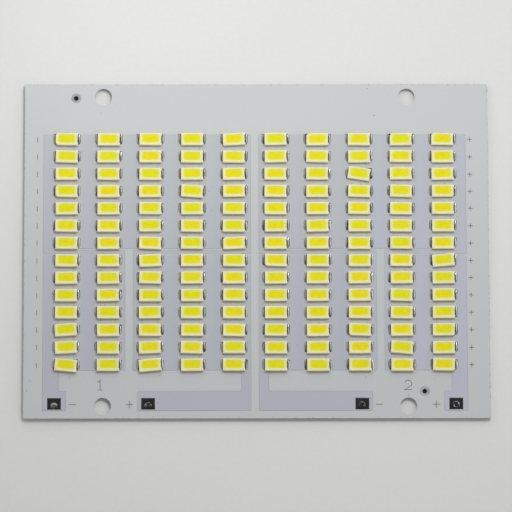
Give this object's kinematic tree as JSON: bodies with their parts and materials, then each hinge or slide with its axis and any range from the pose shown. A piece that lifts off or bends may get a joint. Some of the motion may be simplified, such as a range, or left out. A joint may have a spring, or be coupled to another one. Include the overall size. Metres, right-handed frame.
{
  "type": "led board",
  "caption": "Flat aluminium-core board with white mask, columns of small yellow surface-mount LEDs in two circuits, wire pads and screw holes.",
  "frame": {"origin": "middle of the plate's back face", "axes": "+X along the length, +Y along the width away from the wire pads, +Z out of the LED side"},
  "size_m": [0.11, 0.08, 0.0021],
  "materials": {
    "plate_aluminium": "rolled aluminium, fine grain, cut edges brighter",
    "insulating_layer": "thin grey filled epoxy, matte",
    "copper_foil": "etched copper under the mask",
    "tinned_copper": "tinned copper dot, smooth",
    "white_mask": "white solder mask, satin, cooler over the copper, small specks",
    "pad_tin": "smooth solder, mirror-like, round lump",
    "joint_solder": "bright solder fillet",
    "lead_plating": "plated lead frame",
    "white_housing": "moulded white plastic, warm, slightly see-through",
    "yellow_fill": "phosphor in silicone, golden in the middle, pale at the rim",
    "die_chip": "bare chip, hidden in the fill"
  },
  "bodies": {
    "root": {"base_plate": "plate_aluminium", "dielectric": "insulating_layer", "copper_circuit_1": "copper_foil", "copper_circuit_2": "copper_foil", "fiducial_dots": "tinned_copper", "solder_mask": "white_mask", "wire_pad_1_minus": "pad_tin", "wire_pad_1_plus": "pad_tin", "wire_pad_2_minus": "pad_tin", "wire_pad_2_plus": "pad_tin", "led_dies": "die_chip", "housings_col_01": "white_housing", "housings_col_02": "white_housing", "housings_col_03": "white_housing", "housings_col_04": "white_housing", "housings_col_05": "white_housing", "housings_col_06": "white_housing", "housings_col_07": "white_housing", "housings_col_08": "white_housing", "housings_col_09": "white_housing", "housings_col_10": "white_housing", "phosphor_col_01": "yellow_fill", "phosphor_col_02": "yellow_fill", "phosphor_col_03": "yellow_fill", "phosphor_col_04": "yellow_fill", "phosphor_col_05": "yellow_fill", "phosphor_col_06": "yellow_fill", "phosphor_col_07": "yellow_fill", "phosphor_col_08": "yellow_fill", "phosphor_col_09": "yellow_fill", "phosphor_col_10": "yellow_fill", "leads_col_01": "lead_plating", "leads_col_02": "lead_plating", "leads_col_03": "lead_plating", "leads_col_04": "lead_plating", "leads_col_05": "lead_plating", "leads_col_06": "lead_plating", "leads_col_07": "lead_plating", "leads_col_08": "lead_plating", "leads_col_09": "lead_plating", "leads_col_10": "lead_plating", "solder_col_01": "joint_solder", "solder_col_02": "joint_solder", "solder_col_03": "joint_solder", "solder_col_04": "joint_solder", "solder_col_05": "joint_solder", "solder_col_06": "joint_solder", "solder_col_07": "joint_solder", "solder_col_08": "joint_solder", "solder_col_09": "joint_solder", "solder_col_10": "joint_solder"}
  },
  "joints": []
}
